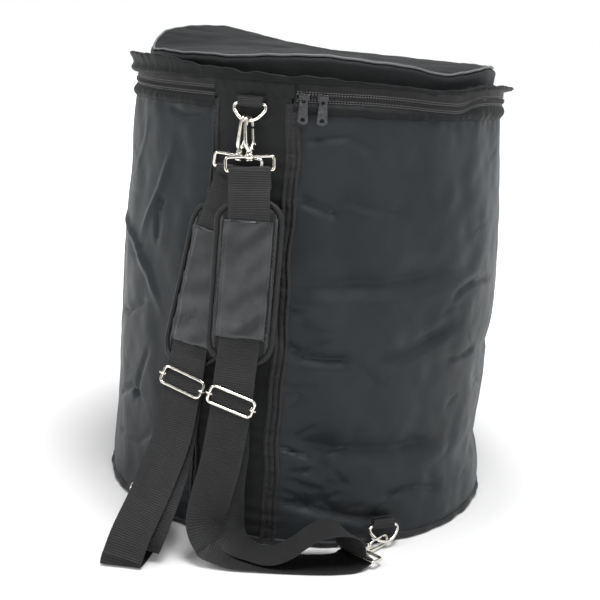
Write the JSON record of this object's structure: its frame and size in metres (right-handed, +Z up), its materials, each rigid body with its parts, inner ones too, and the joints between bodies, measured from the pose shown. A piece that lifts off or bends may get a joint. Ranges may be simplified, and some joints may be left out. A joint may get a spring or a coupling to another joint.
{
  "type": "round drum bag",
  "caption": "Soft round drum bag with a zipped lid, padded walls, clip-on shoulder straps with pads, snap hooks and D-rings.",
  "frame": {"origin": "middle of the underside of the base, on the floor", "axes": "+Z up; the strap panel, which is the lid's cloth hinge side, faces -Y; +X to the right of someone looking at the strap panel"},
  "size_m": [0.5372, 0.6641, 0.6031],
  "materials": {
    "base_binding": "ribbed nylon webbing",
    "base_cover": "coated nylon cloth",
    "base_foam": "closed-cell foam pad",
    "base_lining": "thin lining cloth",
    "hook_base_lower_left": "bright nickel plate",
    "hook_base_lower_right": "bright nickel plate",
    "hook_base_upper_left": "bright nickel plate",
    "hook_base_upper_right": "bright nickel plate",
    "hook_body_lower_left": "bright nickel plate",
    "hook_body_lower_right": "bright nickel plate",
    "hook_body_upper_left": "bright nickel plate",
    "hook_body_upper_right": "bright nickel plate",
    "hook_gate_lower_left": "bright nickel plate",
    "hook_gate_lower_right": "bright nickel plate",
    "hook_gate_upper_left": "bright nickel plate",
    "hook_gate_upper_right": "bright nickel plate",
    "lid_foam": "closed-cell foam pad",
    "lid_hinge_web": "coated nylon cloth",
    "lid_lining": "thin lining cloth",
    "lid_piping": "reflective piping",
    "lid_side_band": "coated nylon cloth",
    "lid_top_panel": "coated nylon cloth",
    "pad_left": "coated nylon cloth",
    "pad_right": "coated nylon cloth",
    "patch_left": "semi-gloss vinyl",
    "patch_right": "semi-gloss vinyl",
    "ring_left": "bright nickel plate",
    "ring_right": "bright nickel plate",
    "ring_tab_left": "ribbed nylon webbing",
    "ring_tab_right": "ribbed nylon webbing",
    "ring_tab_top": "ribbed nylon webbing",
    "ring_top": "bright nickel plate",
    "seam_band_left": "ribbed nylon webbing",
    "seam_band_right": "ribbed nylon webbing",
    "slider_bar_left": "bright nickel plate",
    "slider_bar_right": "bright nickel plate",
    "slider_frame_left": "bright nickel plate",
    "slider_frame_right": "bright nickel plate",
    "strap_panel": "coated nylon cloth",
    "wall_foam": "closed-cell foam pad",
    "wall_lining": "thin lining cloth",
    "wall_panel": "coated nylon cloth",
    "webbing_left": "ribbed nylon webbing",
    "webbing_right": "ribbed nylon webbing",
    "zip_coil_lower": "moulded coil",
    "zip_coil_upper": "moulded coil",
    "zip_pull_a": "dark gunmetal",
    "zip_pull_b": "dark gunmetal",
    "zip_slider_a": "dark gunmetal",
    "zip_slider_b": "dark gunmetal",
    "zip_tape_lower": "coated nylon cloth",
    "zip_tape_upper": "coated nylon cloth"
  },
  "bodies": {
    "bag": {"base_binding": "base_binding", "base_cover": "base_cover", "base_foam": "base_foam", "base_lining": "base_lining", "wall_panel": "wall_panel", "strap_panel": "strap_panel", "seam_band_right": "seam_band_right", "seam_band_left": "seam_band_left", "wall_foam": "wall_foam", "wall_lining": "wall_lining", "zip_tape_lower": "zip_tape_lower", "zip_coil_lower": "zip_coil_lower", "ring_tab_top": "ring_tab_top", "ring_tab_right": "ring_tab_right", "ring_tab_left": "ring_tab_left", "webbing_right": "webbing_right", "pad_right": "pad_right", "patch_right": "patch_right", "webbing_left": "webbing_left", "pad_left": "pad_left", "patch_left": "patch_left", "hook_base_upper_right": "hook_base_upper_right", "hook_base_upper_left": "hook_base_upper_left", "hook_base_lower_right": "hook_base_lower_right", "hook_base_lower_left": "hook_base_lower_left"},
    "lid": {"lid_hinge_web": "lid_hinge_web", "lid_side_band": "lid_side_band", "lid_piping": "lid_piping", "lid_top_panel": "lid_top_panel", "lid_foam": "lid_foam", "lid_lining": "lid_lining", "zip_tape_upper": "zip_tape_upper", "zip_coil_upper": "zip_coil_upper"},
    "zip_slider_a": {"zip_slider_a": "zip_slider_a"},
    "zip_pull_a": {"zip_pull_a": "zip_pull_a"},
    "zip_slider_b": {"zip_slider_b": "zip_slider_b"},
    "zip_pull_b": {"zip_pull_b": "zip_pull_b"},
    "ring_top": {"ring_top": "ring_top"},
    "ring_right": {"ring_right": "ring_right"},
    "ring_left": {"ring_left": "ring_left"},
    "hook_body_upper_right": {"hook_body_upper_right": "hook_body_upper_right"},
    "hook_gate_upper_right": {"hook_gate_upper_right": "hook_gate_upper_right"},
    "hook_body_upper_left": {"hook_body_upper_left": "hook_body_upper_left"},
    "hook_gate_upper_left": {"hook_gate_upper_left": "hook_gate_upper_left"},
    "hook_body_lower_right": {"hook_body_lower_right": "hook_body_lower_right"},
    "hook_gate_lower_right": {"hook_gate_lower_right": "hook_gate_lower_right"},
    "hook_body_lower_left": {"hook_body_lower_left": "hook_body_lower_left"},
    "hook_gate_lower_left": {"hook_gate_lower_left": "hook_gate_lower_left"},
    "slider_frame_right": {"slider_frame_right": "slider_frame_right"},
    "slider_bar_right": {"slider_bar_right": "slider_bar_right"},
    "slider_frame_left": {"slider_frame_left": "slider_frame_left"},
    "slider_bar_left": {"slider_bar_left": "slider_bar_left"}
  },
  "joints": [
    {"name": "lid_hinge", "type": "hinge", "parent": "bag", "child": "lid", "pos_m": [0, -0.247, 0.542], "axis": [1, 0, 0], "range_deg": [0, 115]},
    {"name": "zip_slider_a_run", "type": "hinge", "parent": "bag", "child": "zip_slider_a", "pos_m": [0, 0, 0.543], "axis": [0, 0, 1], "range_deg": [-1.1, 2]},
    {"name": "zip_pull_a_swing", "type": "hinge", "parent": "zip_slider_a", "child": "zip_pull_a", "pos_m": [0.0606, -0.24306, 0.5435], "axis": [-0.9703, -0.2419, 0], "range_deg": [0, 140]},
    {"name": "zip_slider_b_run", "type": "hinge", "parent": "bag", "child": "zip_slider_b", "pos_m": [0, 0, 0.543], "axis": [0, 0, 1], "range_deg": [-2, 327]},
    {"name": "zip_pull_b_swing", "type": "hinge", "parent": "zip_slider_b", "child": "zip_pull_b", "pos_m": [0.08156, -0.23685, 0.5435], "axis": [-0.9455, -0.3256, 0], "range_deg": [0, 140]},
    {"name": "ring_top_swing", "type": "hinge", "parent": "bag", "child": "ring_top", "pos_m": [0, -0.2512, 0.5315], "axis": [-1, 0, 0], "range_deg": [-3, 2]},
    {"name": "ring_right_swing", "type": "hinge", "parent": "bag", "child": "ring_right", "pos_m": [0.18401, -0.19733, 0.0258], "axis": [-0.7314, -0.682, 0], "range_deg": [-4, 0]},
    {"name": "ring_left_swing", "type": "hinge", "parent": "bag", "child": "ring_left", "pos_m": [-0.13286, -0.23483, 0.0258], "axis": [-0.8704, 0.4924, 0], "range_deg": [-4, 0]},
    {"name": "hook_upper_right_swivel", "type": "hinge", "parent": "bag", "child": "hook_body_upper_right", "pos_m": [0.00793, -0.26565, 0.47323], "axis": [-0.158, 0.21, 0.9649], "range_deg": [-4, 8]},
    {"name": "hook_upper_right_gate", "type": "hinge", "parent": "hook_body_upper_right", "child": "hook_gate_upper_right", "pos_m": [0.00747, -0.26051, 0.48219], "axis": [0.931, -0.294, 0.2164], "range_deg": [0, 18], "stiffness_Nm_per_rad": 0.02, "springref_deg": -2.86},
    {"name": "hook_upper_left_swivel", "type": "hinge", "parent": "bag", "child": "hook_body_upper_left", "pos_m": [-0.00778, -0.25924, 0.47232], "axis": [0.088, 0.055, 0.9946], "range_deg": [-4, 8]},
    {"name": "hook_upper_left_gate", "type": "hinge", "parent": "hook_body_upper_left", "child": "hook_gate_upper_left", "pos_m": [-0.00643, -0.25544, 0.48184], "axis": [0.9852, -0.1523, -0.0787], "range_deg": [0, 18], "stiffness_Nm_per_rad": 0.02, "springref_deg": -2.86},
    {"name": "hook_lower_right_swivel", "type": "hinge", "parent": "bag", "child": "hook_body_lower_right", "pos_m": [0.17218, -0.23919, 0.0092], "axis": [0.3987, 0.9171, 0], "range_deg": [-2, 8]},
    {"name": "hook_lower_right_gate", "type": "hinge", "parent": "hook_body_lower_right", "child": "hook_gate_lower_right", "pos_m": [0.17609, -0.2302, 0.0125], "axis": [-0.9171, 0.3987, 0], "range_deg": [0, 3], "stiffness_Nm_per_rad": 0.02, "springref_deg": -2.86},
    {"name": "hook_lower_left_swivel", "type": "hinge", "parent": "bag", "child": "hook_body_lower_left", "pos_m": [-0.11333, -0.27172, 0.0092], "axis": [-0.602, 0.7985, 0], "range_deg": [-8, 8]},
    {"name": "hook_lower_left_gate", "type": "hinge", "parent": "hook_body_lower_left", "child": "hook_gate_lower_left", "pos_m": [-0.11923, -0.2639, 0.0125], "axis": [-0.7985, -0.602, 0], "range_deg": [0, 3], "stiffness_Nm_per_rad": 0.02, "springref_deg": -2.86},
    {"name": "strap_right_adjust", "type": "slide", "parent": "bag", "child": "slider_frame_right", "axis": [0.0139, 0.1688, 0.9855], "range_m": [-0.008, 0.008]},
    {"name": "strap_right_bar_slip", "type": "slide", "parent": "slider_frame_right", "child": "slider_bar_right", "axis": [0.2484, 0.2202, 0.9433], "range_m": [-0.003, 0.003]},
    {"name": "strap_left_adjust", "type": "slide", "parent": "bag", "child": "slider_frame_left", "axis": [0.0033, 0.3314, 0.9435], "range_m": [-0.008, 0.008]},
    {"name": "strap_left_bar_slip", "type": "slide", "parent": "slider_frame_left", "child": "slider_bar_left", "axis": [0.2451, 0.3213, 0.9147], "range_m": [-0.003, 0.003]}
  ]
}
